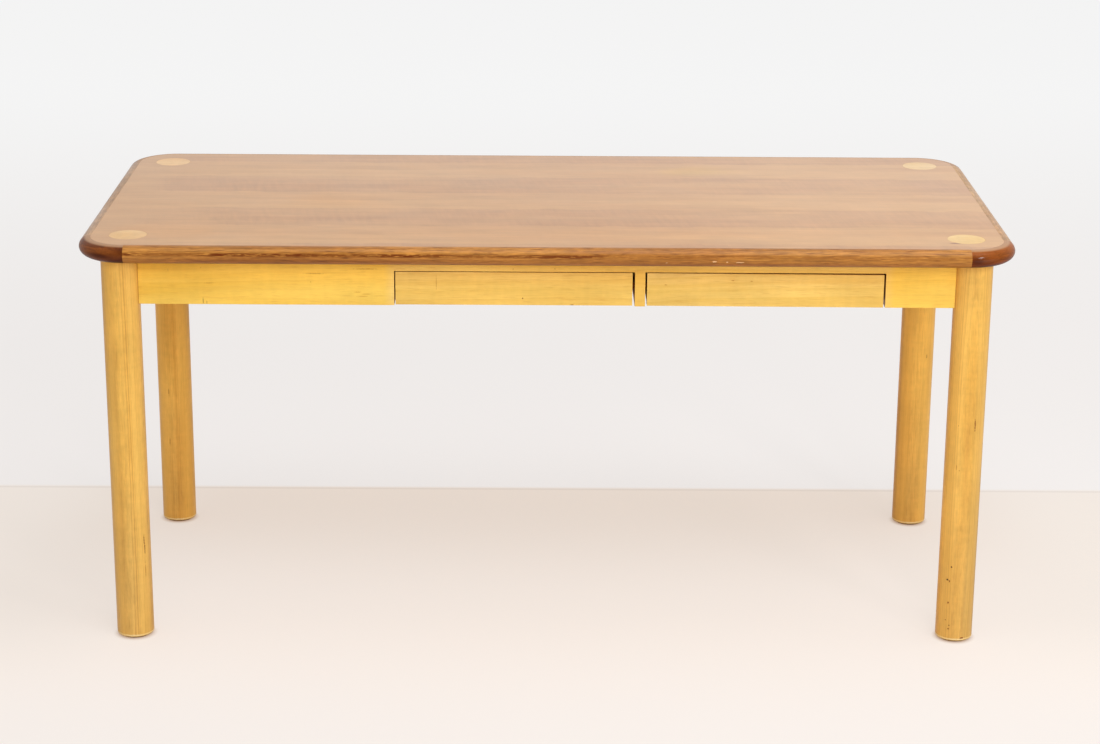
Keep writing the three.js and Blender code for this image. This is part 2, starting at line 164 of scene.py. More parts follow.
def tint(web):
    """A colour written as six web digits, as Blender's linear red, green, blue and alpha."""
    parts = [int(web[at : at + 2], 16) / 255 for at in (0, 2, 4)]
    return [part / 12.92 if part <= 0.04045 else ((part + 0.055) / 1.055) ** 2.4 for part in parts] + [1]


class Flow:
    """A value, colour or place on its way through a finish. A sum with it lays the node for that sum,
    and its parts 0, 1 and 2 are how far a place lies across, in depth and up."""

    def __init__(self, socket):
        self.socket = socket
        self.tree = socket.id_data
        self.single = socket.type == "VALUE"

    def calc(self, operation, *others):
        """What comes of this and of others, flows or plain values, by an operation."""
        fed = dict(enumerate([self, *others]))
        if self.single:
            return put(self.tree, "Math", fed, operation=operation)
        if operation == "MULTIPLY" and getattr(others[0], "single", isinstance(others[0], float)):
            fed, operation = {0: self, "Scale": others[0]}, "SCALE"
        out = 1 if operation in ("LENGTH", "DOT_PRODUCT") else 0
        return put(self.tree, "VectorMath", fed, out, operation=operation)

    __add__ = partialmethod(calc, "ADD")
    __sub__ = partialmethod(calc, "SUBTRACT")
    __mul__ = partialmethod(calc, "MULTIPLY")
    __truediv__ = partialmethod(calc, "DIVIDE")
    __abs__ = partialmethod(calc, "ABSOLUTE")

    def __rsub__(self, number):
        return put(self.tree, "Math", {0: number, 1: self}, operation="SUBTRACT")

    def __rmul__(self, colour):
        return put(self.tree, "VectorMath", {0: colour, "Scale": self}, operation="SCALE")

    def __getitem__(self, part):
        return put(self.tree, "SeparateXYZ", {0: self}, part)


def feed(node, fed):
    """Feeds a shader node's inputs from other nodes, or sets them to plain values."""
    for socket, value in fed.items():
        if isinstance(value, Flow):
            node.id_data.links.new(value.socket, node.inputs[socket])
        else:
            node.inputs[socket].default_value = value


def put(tree, kind, fed=None, out=0, **settings):
    """What a new shader node puts out, at one socket or at several."""
    made = tree.nodes.new("ShaderNode" + kind)
    for name, value in settings.items():
        setattr(made, name, value)
    feed(made, fed or {})
    return [Flow(made.outputs[each]) for each in out] if isinstance(out, tuple) else Flow(made.outputs[out])


def ramp(value, low, high, start=0.0, end=1.0):
    """The value drawn out smoothly from low..high to start..end."""
    fed = {"Value": value, "From Min": low, "From Max": high, "To Min": start, "To Max": end}
    return put(value.tree, "MapRange", fed, interpolation_type="SMOOTHSTEP")


def blend(amount, first, second):
    return put(amount.tree, "Mix", {0: amount, 6: first, 7: second}, 2, data_type="RGBA")


def cloud(place, scale, detail=2.0, out=0):
    """Noise at that many patches to the metre: a value, or a colour at the second socket."""
    return put(place.tree, "TexNoise", {"Vector": place, "Scale": scale, "Detail": detail}, out)


def normal_of(place):
    return put(place.tree, "NewGeometry", out="True Normal")


def shader_group(name, takes, gives):
    """A new group of shader nodes: its tree, what is given to it, and the node that gives it on."""
    tree = bpy.data.node_groups.new(name, "ShaderNodeTree")
    for side, sockets in (("INPUT", takes), ("OUTPUT", gives)):
        for label, kind in sockets.items():
            tree.interface.new_socket(name=label, in_out=side, socket_type="NodeSocket" + kind)
    given = {socket.name: Flow(socket) for socket in tree.nodes.new("NodeGroupInput").outputs if socket.name}
    return tree, given, tree.nodes.new("NodeGroupOutput")


timber_tones = ["Pale", "Deep", "Line"]
timber_measures = "Ring Width,Lean,Wander,Ring Edge,Ring Depth,Streak Depth,Fibre Depth,Fleck Depth"
timber_measures = [*timber_measures.split(","), "Mottle", "Curl", "Bow", "Speckle", "Drift"]
grey = (0.5, 0.5, 0.5)
# How far each part of a timber's figure is drawn along it, its patches to the metre and its detail
figures = {"sway": (0.14, 11, 2, 1), "wobble": (0.06, 70), "slow": (0.1, 17), "fibre": (0.03, 1200)}
figures |= {"streaks": (0.03, 190, 3), "flecks": (0.07, 480), "patches": (0.35, 24, 4)}
figures |= {"grains": (0.45, 170, 3), "broad": (0.7, 6, 1)}
season_end = (0.94, 1.0, 1.0, 0.0)
ring_strengths = (0.0, 1.0, 0.25, 1.0)
tone_range = (0.38, 0.74)
curl_figure = ((0.22, 0.22, 1), 95)
wobble_years = 0.7
season_tint = 0.12
ring_relief, streak_relief = -0.35, 0.4
raggedness = (1.6, 1.6, 1.6)
mark_edge = (0.55, 1.0)
eased_turn, end_turn = (0.98, 0.85), (0.8, 0.97)

# Solid timber: rings round the tree's heart, slow changes of tone, streaks and fibres along Z
takes = {"Position": "Vector", "Heart": "Vector"}
takes |= {name: "Color" for name in timber_tones}
takes |= {name: "Float" for name in timber_measures}
timber_group, given, out = shader_group("timber", takes, {"Colour": "Color", "Relief": "Float"})
position = given["Position"]
seen = {name: cloud(position * (1, 1, drawn), *rest) for name, (drawn, *rest) in figures.items()}
seen["curl"] = cloud(position * curl_figure[0], curl_figure[1])

offset = (seen["sway"] - grey) * given["Wander"] + position - given["Heart"]
leaning = offset[2] * given["Lean"] + offset[0]
straight = put(timber_group, "CombineXYZ", {0: leaning, 1: offset[1]}).calc("LENGTH")
distance = offset[2] * offset[2] * given["Bow"] + straight

years = seen["wobble"] * wobble_years + distance / given["Ring Width"]
season = years.calc("FRACT")
strength = put(timber_group, "TexWhiteNoise", {"W": years.calc("FLOOR")}, noise_dimensions="1D")
growth = season.calc("POWER", given["Ring Edge"]) * ramp(season, *season_end)
rings = growth * ramp(strength, *ring_strengths)

colour = blend(ramp(strength * season_tint + seen["slow"], *tone_range), given["Pale"], given["Deep"])
colour = blend(rings * given["Ring Depth"], colour, given["Line"])
lines = (("streaks", 0.52, 0.76, "Streak"), ("fibre", 0.6, 0.32, "Fibre"), ("flecks", 0.55, 0.7, "Fleck"))
for figure, low, high, kind in lines:
    colour = blend(ramp(seen[figure], low, high) * given[f"{kind} Depth"], colour, given["Line"])
shading = (seen["patches"] - 0.5) * given["Mottle"] + 1.0
for figure, depth in (("curl", "Curl"), ("grains", "Speckle"), ("broad", "Drift")):
    shading = (seen[figure] - 0.5) * given[depth] + shading
relief = rings * ring_relief + (seen["streaks"] * streak_relief + seen["fibre"])
feed(out, {"Colour": colour * shading, "Relief": relief})

# A ragged spot of a given reach about a place on a piece
takes = {"Position": "Vector", "Centre": "Vector", "Reach": "Vector"}
mark_group, given, out = shader_group("mark", takes, {"Mask": "Float"})
share = (given["Position"] - given["Centre"]) / given["Reach"]
ragged = (cloud(given["Position"], 500, 3, 1) - grey) * raggedness + share
feed(out, {"Mask": ramp(ragged.calc("LENGTH"), *mark_edge, 1.0, 0.0)})

# Where the surface of a board turns at an eased edge, and where it shows end grain
arris_group, given, out = shader_group("arris", {"Grain": "Vector"}, {"Edge": "Float", "End": "Float"})
normal = normal_of(given["Grain"])
sides = abs(normal)
flat = sides[0].calc("MAXIMUM", sides[1].calc("MAXIMUM", sides[2]))
along = abs(normal.calc("DOT_PRODUCT", given["Grain"]))
feed(out, {"Edge": ramp(flat, *eased_turn), "End": ramp(along, *end_turn)})


upright = Vector((0, 0, 1))
along_length = Vector((1, 0, 0))
along_depth = Vector((0, 1, 0))
mark_sink = 2.0
pore_depth = 0.0003
scuff_range = (0.3, 0.7)


def timber(like, tones="", **changes):
    """A timber like another but for its pale, deep and line tones, as web digits, and some measures."""
    tints = {name.lower(): tint(web) for name, web in zip(timber_tones, tones.split())}
    return {**like, **tints, **changes}


def new_finish(name):
    """A material, its surface shader, and the place of each point on the desk."""
    material = bpy.data.materials.new(name)
    material.use_nodes = True
    tree = material.node_tree
    return material, tree.nodes["Principled BSDF"], put(tree, "TexCoord", out="Object")


def wood(name, looks, grain, centre, turn=0.0, marks=(), lay=None, shade=None):
    """The finish of a piece cut from a timber, with its grain in a direction of the desk. One function
    may lay its veneer and another shade it."""
    material, surface, place = new_finish(name)
    tree = place.tree
    chance = random.Random(name)
    shift = Vector([chance.uniform(-1, 1) for _ in range(3)])
    lying = grain.rotation_difference(upright).to_matrix()
    turning = Matrix.Rotation(radians(turn), 3, "Z") @ lying

    about_centre = (lay(place) if lay else place) - centre
    moved = {"Vector": about_centre, "Location": shift, "Rotation": turning.to_euler()}
    fed = {"Position": put(tree, "Mapping", moved), "Heart": Vector(looks["heart"]) + shift}
    fed |= {name: looks[name.lower().replace(" ", "_")] for name in timber_tones + timber_measures}
    colour, relief = put(tree, "Group", fed, (0, 1), node_tree=timber_group)
    edge, end = put(tree, "Group", {"Grain": grain.normalized()}, (0, 1), node_tree=arris_group)
    colour = shade(place, colour) if shade else colour
    colour = blend(end * looks["end_depth"], colour, looks.get("end", looks["line"]))
    # Eased edges are paled towards the timber's pale tone: partly wear, partly a painted sheen along the
    # edges
    colour = blend(edge * looks["worn"], colour, looks["pale"])
    for spot, reach, stain in marks:
        mask = put(tree, "Group", {"Position": place, "Centre": spot, "Reach": reach}, node_tree=mark_group)
        colour = blend(mask, colour, stain)
        relief = mask * -mark_sink + relief
    coat = looks["coat"]
    if "polish" in looks:
        middle, reach, polish = looks["polish"]
        coat = (soft_spot(place, middle, reach) * polish).calc("MAXIMUM", coat)
    gloss, spread = looks["roughness"], looks["scuffs"]
    bump = {"Strength": looks["bump"], "Distance": pore_depth, "Height": relief}
    feed(surface, {
        "Base Color": colour,
        "Roughness": ramp(cloud(place, 9, 4), *scuff_range, gloss - spread, gloss + spread),
        "Normal": put(tree, "Bump", bump),
        "Specular IOR Level": looks["shine"],
        "Coat Weight": coat,
        "Coat Roughness": looks["coat_roughness"],
    })
    return material


def dress(node, ending, skin, looks, grain, turn=0, body="desk", **figure):
    """Finishes a piece of timber with its grain along a run, and shows it in its node's place."""
    finish = wood(f"{node}_{looks['kind']}", looks, grain, span(node)[2], turn, **figure)
    show(f"{node}_{ending}", skin, finish, looks["slot"], node, body)


leg_maple = timber(
    {"kind": "maple", "slot": "leg_maple"}, "f2c261 e2ac4d ac6a2a", ring_width=0.001891, lean=0.0,
    wander=0.0015, ring_edge=3.0, ring_depth=0.85, streak_depth=0.1, fibre_depth=0.16, fleck_depth=0.2,
    mottle=0.5, curl=0.16, speckle=0.26, drift=0.12, bow=0.0, end_depth=0.45, worn=0.35,
    roughness=0.42, scuffs=0.06, shine=0.25, bump=0.12, coat=0.0, coat_roughness=0.03,
)
# The back legs are tinted more orange than the front ones, as painted warm shade where they stand under the
# top
shaded_back_tones = "fac25a e8a946 b87026"
shaded_back_maple = timber(
    leg_maple, shaded_back_tones, mottle=0.6, speckle=0.14, wander=0.008, ring_depth=0.3, streak_depth=0.16
)
nick, scar, faint = tint("4a2408"), tint("8e5420"), tint("c48a3c")

# Each leg's turn, its heart's height and its bow, and its nicks and dark streaks: degrees round it
# from the front, height, half width, half height
leg_figures = {
    "front_left": (12, -0.04, -0.006, [
        (49, 0.184, 0.0011, 0.012, scar), (51, 0.168, 0.0013, 0.012, scar),
        (50.5, 0.128, 0.0012, 0.016, faint),
    ]),
    "front_right": (-11, -0.02, -0.0115, [
        (-26.5, 0.1437, 0.0018, 0.0022, nick), (-38, 0.1182, 0.0026, 0.002, nick),
        (-31, 0.1163, 0.0016, 0.003, scar), (-31.3, 0.0756, 0.0018, 0.0025, scar),
        (-37.5, 0.0418, 0.0012, 0.001, scar), (-25, 0.0328, 0.0013, 0.0018, nick),
        (-26.5, 0.0257, 0.0022, 0.0016, scar), (-29, 0.33, 0.0012, 0.006, faint),
        (-19.7, 0.3243, 0.0012, 0.0016, faint), (18, 0.009, 0.0045, 0.002, scar),
        (-29.6, 0.406, 0.0014, 0.0012, faint), (22, 0.409, 0.0015, 0.014, scar),
    ]),
    "back_right": (150, 0.1, 0.008, [(29, 0.353, 0.0014, 0.006, faint)]),
    "back_left": (-110, -0.1, 0.006, [
        (-15, 0.273, 0.0014, 0.008, faint), (-17, 0.17, 0.0014, 0.01, faint),
    ]),
}
heart_offset = (0.012, 0.075)
scuffed_height = (0.42, 0.05)
scuffed_tone = (0.86, 0.85, 0.97)
# A pale band just above the round of each foot, painted as a highlight
painted_rim_highlight = tint("f6dca0")
rim_top = (0.0086, 0.0074)
rim_foot = (0.0046, 0.0058)
rim_depths = (0.75, 0.85)
rim_wander = 0.002
# The round of the foot below that band is darkened as painted shade
painted_foot_shade = tint("7c4a1a")
# Painted shade: the left-facing side of each leg is tinted ruddier and darker
shaded_side = (-0.1, -0.75)
painted_shade_ruddier = (0.99, 0.925, 0.885)
painted_side_heights = (0.85, 0.1)
# The inner and outer side of the front right leg, by the way they face, with the tone of each: painted light
# inside, painted shade outside
painted_side_tones = [((-0.65, -0.95), (1.26, 1.25, 0.98)), ((0.1, 0.5), (0.765, 0.76, 0.83))]


def scuffed_with_painted_light(place, colour):
    """A leg dulled towards its foot by shoes and brooms, with painted shade on its left-facing side and on
    the round of its foot, and a painted highlight just above the foot.
    """
    colour = blend(ramp(place[2], *scuffed_height), colour, colour * scuffed_tone)
    colour = blend(ramp(normal_of(place)[0], *shaded_side), colour, colour * painted_shade_ruddier)
    edge = (cloud(place, 160, 3) - 0.5) * rim_wander + place[2]
    colour = blend(ramp(edge, *rim_top) * rim_depths[0], colour, painted_rim_highlight)
    return blend(ramp(edge, *rim_foot, rim_depths[1], 0.0), colour, painted_foot_shade)


def painted_side_light_and_shade(place, colour):
    """The front right leg: painted light on its inner side and painted shade on its outer side, most so near
    the floor.
    """
    for side, tone in painted_side_tones:
        amount = ramp(place[2], *painted_side_heights) * ramp(normal_of(place)[0], *side)
        colour = blend(amount, colour, colour * tone)
    return scuffed_with_painted_light(place, colour)


for corner in corner_names:
    node = f"{corner}_leg"
    low, high, axis = span(node)
    radius = (high.x - low.x) / 2
    foot = arc(radius - foot_round, low.z + foot_round, foot_round, -90, 0, 5)
    head = arc(radius - head_round, high.z - head_round, head_round, 0, 90, 2)
    outline = [(0, low.z), *foot, *head, (0, high.z)]
    end, hand = corner.split("_")
    tools = [f"{end}_apron", f"{hand}_apron", f"{corner}_leg_bolt", f"{corner}_glide"]
    post = carved(turned(outline, axis.xy), [skin_of(tool) for tool in tools])
    turn, heart, bow, scars = leg_figures[corner]
    marks = []
    for degrees, height, half_width, half_height, stain in scars:
        way = Vector((sin(radians(degrees)), -cos(radians(degrees)), 0))
        spot = Vector((axis.x, axis.y, height)) + way * radius
        marks.append((spot, (half_width, half_width, half_height), stain))
    shade = painted_side_light_and_shade if corner == "front_right" else scuffed_with_painted_light
    looks = timber(shaded_back_maple if end == "back" else leg_maple, heart=(*heart_offset, heart), bow=bow)
    dress(node, "turned", post, looks, upright, turn, marks=marks, shade=shade)


# Under each foot is a glide moulded in dark nylon: a low disc, its rim eased and its face dished, with
# a stem that is driven into the leg. The desk stands on the flat ring inside the rim.
glide_rim = 0.0008
dish_radius = 0.017
dish_depth = 0.0006
stem_radius = 0.004
cast_grain = 0.0001
handling = 0.08


def plain(name, web, roughness, mottle, bump, metallic=0.0):
    """The finish of a moulded, cast or plated piece: one colour, a little clouded and worn."""
    material, surface, place = new_finish(name)
    clouds = cloud(place, 160, 4)
    relief = {"Strength": bump, "Distance": cast_grain, "Height": cloud(place, 2500)}
    feed(surface, {
        "Base Color": tint(web)[:3] * ramp(clouds, *scuff_range, 1 - mottle, 1 + mottle),
        "Roughness": ramp(clouds, *scuff_range, roughness - handling, roughness + handling),
        "Normal": put(place.tree, "Bump", relief),
        "Metallic": metallic,
    })
    return material


nylon = plain("dark_nylon", "6e431c", 0.6, 0.15, 0.3)
for corner in corner_names:
    node = f"{corner}_glide"
    low, high, middle = span(node)
    leg_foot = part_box(f"{corner}_leg")[0].z
    radius = (high.x - low.x) / 2
    outline = [(0, dish_depth), (dish_radius - dish_depth, dish_depth), (dish_radius, 0)]
    outline += arc(radius - glide_rim, glide_rim, glide_rim, -90, 0, 4)
    outline += [(radius, leg_foot), (stem_radius, leg_foot), (stem_radius, high.z), (0, high.z)]
    show(f"{node}_moulded", turned(outline, middle.xy, 64), nylon, "glide_plastic", node)


# Four maple aprons join the legs, each one board with a stub tenon at either end and a groove inside
# for the buttons, its arrises eased by hand and its lacquer yellower than the legs'. The front one is
# cut out from below for the two drawers, which leaves a stile between them.
apron_ease = 0.0008
# The aprons' end grain is stained deep red-brown, partly as darker end grain and partly as painted shade in
# the gaps beside the drawers
apron_maple = timber(
    leg_maple, "f9d05f efbe48 c8822c", slot="apron_maple", end=tint("a8540f"), end_depth=0.8,
    heart=(0.10, 0.16, 0.0), ring_width=0.0045, lean=0.02, wander=0.03, ring_depth=0.14,
    streak_depth=0.12, fibre_depth=0.12, mottle=0.3, curl=0.1, speckle=0.1, drift=0.2,
    roughness=0.4, bump=0.07,
)
# Painted shade under the overhang of the top: where it comes in, and its tone on the aprons and on the
# drawer fronts
overhang_shade_height = (0.638, 0.672)
overhang_shade_board = (1.02, 0.935, 0.765)
overhang_shade_drawer = (0.985, 0.925, 0.94)
handled_middle = 0.158
handled_reach = (0.44, 0.42)
handled_tone = (0.985, 1.02, 1.6)
# Painted shade on the inner faces of the gaps beside the drawers: where it starts and stops in depth, its
# colour and strength
gap_shade_depths = (0.0007, 0.0025)
gap_shade_width = 0.0165
gap_shade_colour = tint("ac5a26")
gap_shade_strength = 0.85
front_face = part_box("front_apron")[0].y
bleach = tint("dca640")
# Nicks and pale specks of the front apron: across, height, half width, half height
front_marks = [
    (-0.5898, 0.6195, 0.0006, 0.0075, nick, 0.002), (-0.5835, 0.6165, 0.0005, 0.004, scar, 0.002),
    (-0.648, 0.6737, 0.0016, 0.003, bleach), (-0.592, 0.678, 0.0014, 0.0014, bleach),
    (-0.578, 0.651, 0.012, 0.0016, bleach), (-0.398, 0.6685, 0.02, 0.0014, bleach),
    (-0.31, 0.677, 0.026, 0.0014, bleach), (-0.325, 0.636, 0.007, 0.0012, bleach),
    (-0.311, 0.6325, 0.009, 0.001, bleach), (-0.316, 0.6285, 0.011, 0.001, bleach),
    (-0.405, 0.6535, 0.0012, 0.0012, bleach), (-0.0585, 0.678, 0.0012, 0.0012, faint),
    (0.013, 0.679, 0.0012, 0.0012, faint),
]


def on_front(across, height, half_width, half_height, stain, depth=0.001, face=front_face):
    """A mark on an upright front, as its place, its reach and its stain."""
    return (across, face, height), (half_width, depth, half_height), stain


def painted_overhang_shade(place, colour, tone=overhang_shade_board):
    """Painted warm shade under the overhang of the top."""
    return blend(ramp(place[2], *overhang_shade_height), colour, colour * tone)


def painted_gap_shade(place, colour):
    """Painted shade on the inner faces of the drawer fronts and of their notches, which darkens the gaps
    between them.
    """
    depth = place[1] - front_face
    inside = ramp(depth, *gap_shade_depths) * depth.calc("LESS_THAN", gap_shade_width)
    return blend(inside * gap_shade_strength, colour, gap_shade_colour)


def handled_with_painted_shade(place, colour):
    """The front apron: painted shade under the top, rubbed paler by fingers round the drawers, and painted
    shade in the gaps there.
    """
    near = ramp(abs(place[0] - handled_middle), *handled_reach)
    colour = painted_overhang_shade(place, blend(near, colour, colour * handled_tone))
    return blend(near, colour, painted_gap_shade(place, colour))


def drawer_front_painted_shade(place, colour):
    """A drawer's front: painted shade under the top, less warm than on the aprons, and painted shade in its
    gaps.
    """
    return painted_gap_shade(place, painted_overhang_shade(place, colour, overhang_shade_drawer))


def dress_eased(node, ending, ease, *looks, **figure):
    dress(node, ending, eased(skin_of(node), ease), *looks, **figure)


for side in ("front", "back", "left", "right"):
    run = along_length if side in ("front", "back") else along_depth
    figure = {"shade": painted_overhang_shade}
    if side == "front":
        figure = {"shade": handled_with_painted_shade, "marks": [on_front(*mark) for mark in front_marks]}
    dress_eased(f"{side}_apron", "board", apron_ease, apron_maple, run, **figure)


# A hardwood brace crosses each corner behind the leg, mitred to the two aprons and held with four
# screws. A threaded rod runs through it into the leg; its nut and washer draw the leg in.
brace_ease = 0.001
rod_radius, rod_in_leg, rod_beyond_nut = 0.004, 0.03, 0.005
thread_pitch, thread_depth = 0.00125, 0.0006
washer_radius, washer_bore, washer_thickness = 0.012, 0.0043, 0.002
nut_across_flats, nut_thickness, nut_chamfer = 0.013, 0.0065, 0.0008
seat_gap = 0.00005
screw_radius, screw_shank, screw_proud, screw_sink = 0.0038, 0.0017, 0.0002, 0.0028
recess_length, recess_width, recess_depth = 0.0044, 0.0009, 0.0015
brace_screw_across, brace_screw_up = 0.03, 0.017

zinc = plain("zinc_plate", "b4b6b8", 0.36, 0.12, 0.25, metallic=1.0)
box_maple = timber(
    leg_maple, "e6cda0 d5b47f b08c58", kind="wood", slot="drawer_box_wood", heart=(0.05, 0.12, 0.0),
    ring_width=0.003, lean=0.05, wander=0.02, ring_depth=0.3, streak_depth=0.3, roughness=0.6, bump=0.25,
)

# A countersunk screw with a cross recess, its head up along Z
outline = [(0, -screw_sink), (screw_shank, -screw_sink)]
outline += [(screw_radius, 0), (screw_radius, screw_proud / 2)]
outline += [(screw_radius - screw_proud, screw_proud), (0, screw_proud)]
half, narrow = recess_length / 2, recess_width / 2
heights = screw_proud - recess_depth, screw_proud * 2
arms = []
for x, y in ((half, narrow), (narrow, half)):
    square = [(-x, -y), (x, -y), (x, y), (-x, y)]
    arms.append(lofted([[(*corner, height) for corner in square] for height in heights]))
screw_head = smoothed(mesh_of(carved(turned(outline, steps=32), arms), "screw"), zinc, cut_angle)


def drive_screws(name, places, outward, body="desk"):
    """Drives screws into a surface, their heads facing outward; a lone one has no number."""
    for number, place in enumerate(places, 1):
        screw = set_down(f"{name}_{number}" if len(places) > 1 else name, screw_head)
        chance = random.Random(screw.name)
        turn = Matrix.Rotation(chance.uniform(0, pi / 2), 4, "Z")
        facing = outward.to_track_quat("Z", "Y").to_matrix().to_4x4()
        screw.matrix_world = Matrix.Translation(place) @ facing @ turn
        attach(screw, body)


def leg_rod(start, nut_seat, end):
    """The threaded rod of a leg with its washer and nut, along Z."""
    root = rod_radius - thread_depth
    outline = [(0, start), (root, start)]
    for turn in range(int((end - start) / thread_pitch)):
        foot = start + turn * thread_pitch
        outline += [(rod_radius, foot + thread_pitch / 2), (root, foot + thread_pitch)]
    rod = turned([*outline, (root, end), (0, end)], steps=24)
    washer_low = nut_seat - washer_thickness
    washer = [(washer_bore, washer_low), (washer_radius, washer_low)]
    washer += [(washer_radius, nut_seat), (washer_bore, nut_seat)]
    flat = nut_across_flats / 2
    side = radians(60)
    nut_top = nut_seat + nut_thickness
    levels = [(rod_radius, nut_seat, False), (flat, nut_seat, False), (flat, nut_seat + nut_chamfer, True)]
    levels += [(flat, nut_top - nut_chamfer, True), (flat, nut_top, False), (rod_radius, nut_top, False)]
    rings = []
    for radius, height, hexagon in levels:
        ring = []
        for angle in [side / 4 * step for step in range(24)]:
            off_flat = (angle + side / 2) % side - side / 2
            out = radius / cos(off_flat) if hexagon else radius
            ring.append((out * cos(angle), out * sin(angle), height))
        rings.append(ring)
    for part in (turned(washer, steps=48, closed=True), lofted(rings, closed=True)):
        joined = mesh_of(part)
        rod.from_mesh(joined)
        bpy.data.meshes.remove(joined)
    return rod


for corner in corner_names:
    node = f"{corner}_corner_brace"
    low, high, middle = span(node)
    leg_low, leg_high, axis = span(f"{corner}_leg")
    inward = Vector((-copysign(1, axis.x), -copysign(1, axis.y), 0)).normalized()
    sideways = Vector((-inward.y, inward.x, 0))
    inner_face = (abs(low.x - axis.x) + abs(high.x - axis.x)) / sqrt(2)
    dress_eased(node, "block", brace_ease, box_maple, sideways, 40)

    nut_seat = inner_face + seat_gap + washer_thickness
    start = (leg_high.x - leg_low.x) / 2 - rod_in_leg
    rod = leg_rod(start, nut_seat, nut_seat + nut_thickness + rod_beyond_nut)
    centre = Vector((axis.x, axis.y, middle.z))
    rod.transform(Matrix.Translation(centre) @ inward.to_track_quat("Z", "Y").to_matrix().to_4x4())
    show(f"{corner}_leg_rod", rod, zinc, "steel", f"{corner}_leg_bolt")
    face = centre + inward * inner_face
    places = [
        face + sideways * across * brace_screw_across + upright * up * brace_screw_up
        for across in (-1, 1)
        for up in (-1, 1)
    ]
    drive_screws(f"{corner}_brace_screw", places, inward)


# Three boards run from the front apron to the back one, behind the stile and by the drawers. Their reddish
# brown is painted shade that darkens the gaps beside the drawers.
# Each drawer slides on a pair of runners of the same wood screwed to them, and meets a block at the
# back; a block hung from the top catches its back when it is pulled right out.
board_ease = 0.0008
runner_ease = 0.0004
runner_screw_shares = (0.06, 0.35, 0.65, 0.94)
stop_ease = 0.001
stop_screw_shares = (0.25, 0.75)

red_gap_shade_wood = timber(box_maple, "b8602e a04c20 702e12")
for node in ("left_guide_board", "centre_divider", "right_guide_board"):
    dress_eased(node, "planed", board_ease, red_gap_shade_wood, along_depth, 90)


def screw_row(node, start, way, shares, outward):
    """Screws at shares of a way along a piece, from a start given in shares of its box."""
    low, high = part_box(node)
    places = [low + (high - low) * (Vector(start) + way * share) for share in shares]
    drive_screws(f"{node}_screw", places, outward)


for drawer in ("left_drawer", "right_drawer"):
    for side, facing in (("left", along_length), ("right", -along_length)):
        node = f"{drawer}_{side}_runner"
        dress_eased(node, "strip", runner_ease, red_gap_shade_wood, along_depth, 20)
        screw_row(node, (side == "left", 0, 0.5), along_depth, runner_screw_shares, facing)
    node = f"{drawer}_rear_stop"
    dress_eased(node, "block", stop_ease, box_maple, upright, 70)
    screw_row(node, (1, 0.5, 0), upright, stop_screw_shares, along_length)
    node = f"{drawer}_hanging_stop"
    dress_eased(node, "block", stop_ease, box_maple, along_length, 10)
    screw_row(node, (0, 0.5, 0), along_length, stop_screw_shares, -upright)


# Each drawer is a pale hardwood box dovetailed to a maple front, which is drawn out by its lower edge;
# the right one has dropped a little with wear. The sides are grooved outside for the runners, and a
# thin plywood bottom slides into grooves from behind and is screwed up into the back.
front_ease = 0.0008
box_ease = 0.0003
side_top_round = 0.0015
bottom_screw_shares = (0.22, 0.78)
ply_pitch = 0.0025
birch_ply = timber(box_maple, "dfc08c d0ab74", kind="plywood", slot="plywood")
drawer_maple = timber(
    apron_maple, "f7d173 ebc05d c28434", slot="drawer_maple", heart=(0.16, 0.1, 0.0),
    ring_width=0.0035, ring_depth=0.12, fleck_depth=0.22,
)
ply_tones = tint("b98a55"), tint("d9b988")
ply_line, ply_edge = (0.2, 0.3), (0.7, 0.5)
sagging_top, sagging_foot = 0.0013, 0.0011
# Each drawer front's maple and its nicks: across, height, half width, half height
drawer_fronts = {
    "left_drawer": (drawer_maple, [
        (-0.042, 0.6265, 0.0014, 0.0016, scar), (-0.19, 0.655, 0.0006, 0.016, faint),
        (0.042, 0.6155, 0.004, 0.0008, scar),
    ]),
    "right_drawer": (timber(drawer_maple, "f2cd73 e6bc5c", mottle=0.36, drift=0.3), [
        (0.203, 0.6517, 0.003, 0.001, faint), (0.3177, 0.66, 0.0035, 0.0012, faint),
        (0.35, 0.659, 0.003, 0.001, faint),
    ]),
}


def plies(place, face):
    """The plies of birch plywood, as stripes where a sheet shows its edge."""
    layer = (place[2] / ply_pitch).calc("PINGPONG", 0.5)
    stripes = blend(ramp(layer, *ply_line), *ply_tones)
    return blend(ramp(abs(normal_of(place)[2]), *ply_edge), face, stripes)


def along_top(edge):
    """Whether an edge of a side runs along its top."""
    first, second = (vert.co for vert in edge.verts)
    return min(first.z, second.z) > top and abs(first.y - second.y) > abs(first.x - second.x)


for drawer, (looks, nicks) in drawer_fronts.items():
    node = f"{drawer}_front"
    low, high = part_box(node)
    front = skin_of(node)
    if drawer == "right_drawer":
        for vert in front.verts:
            across = (vert.co.x - low.x) / (high.x - low.x)
            if vert.co.z > high.z - weld_distance:
                vert.co.z -= sagging_top * across
            elif vert.co.z < low.z + weld_distance:
                vert.co.z -= sagging_foot * across
    figure = {"marks": [on_front(*each) for each in nicks], "shade": drawer_front_painted_shade}
    dress(node, "board", eased(front, front_ease), looks, along_length, body=drawer, **figure)

    for side in ("left", "right"):
        node = f"{drawer}_{side}_side"
        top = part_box(node)[1].z - weld_distance
        board = eased(eased(skin_of(node), side_top_round, 4, along_top), box_ease)
        dress(node, "board", board, box_maple, along_depth, 90, drawer)

    node = f"{drawer}_back"
    dress_eased(node, "board", box_ease, box_maple, along_length, body=drawer)
    back_depth = span(node)[2].y

    node = f"{drawer}_bottom"
    low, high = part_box(node)
    dress_eased(node, "sheet", box_ease, birch_ply, along_length, 80, drawer, shade=plies)
    acrosses = [low.x + (high.x - low.x) * share for share in bottom_screw_shares]
    places = [Vector((across, back_depth, low.z)) for across in acrosses]
    drive_screws(f"{node}_screw", places, -upright, drawer)


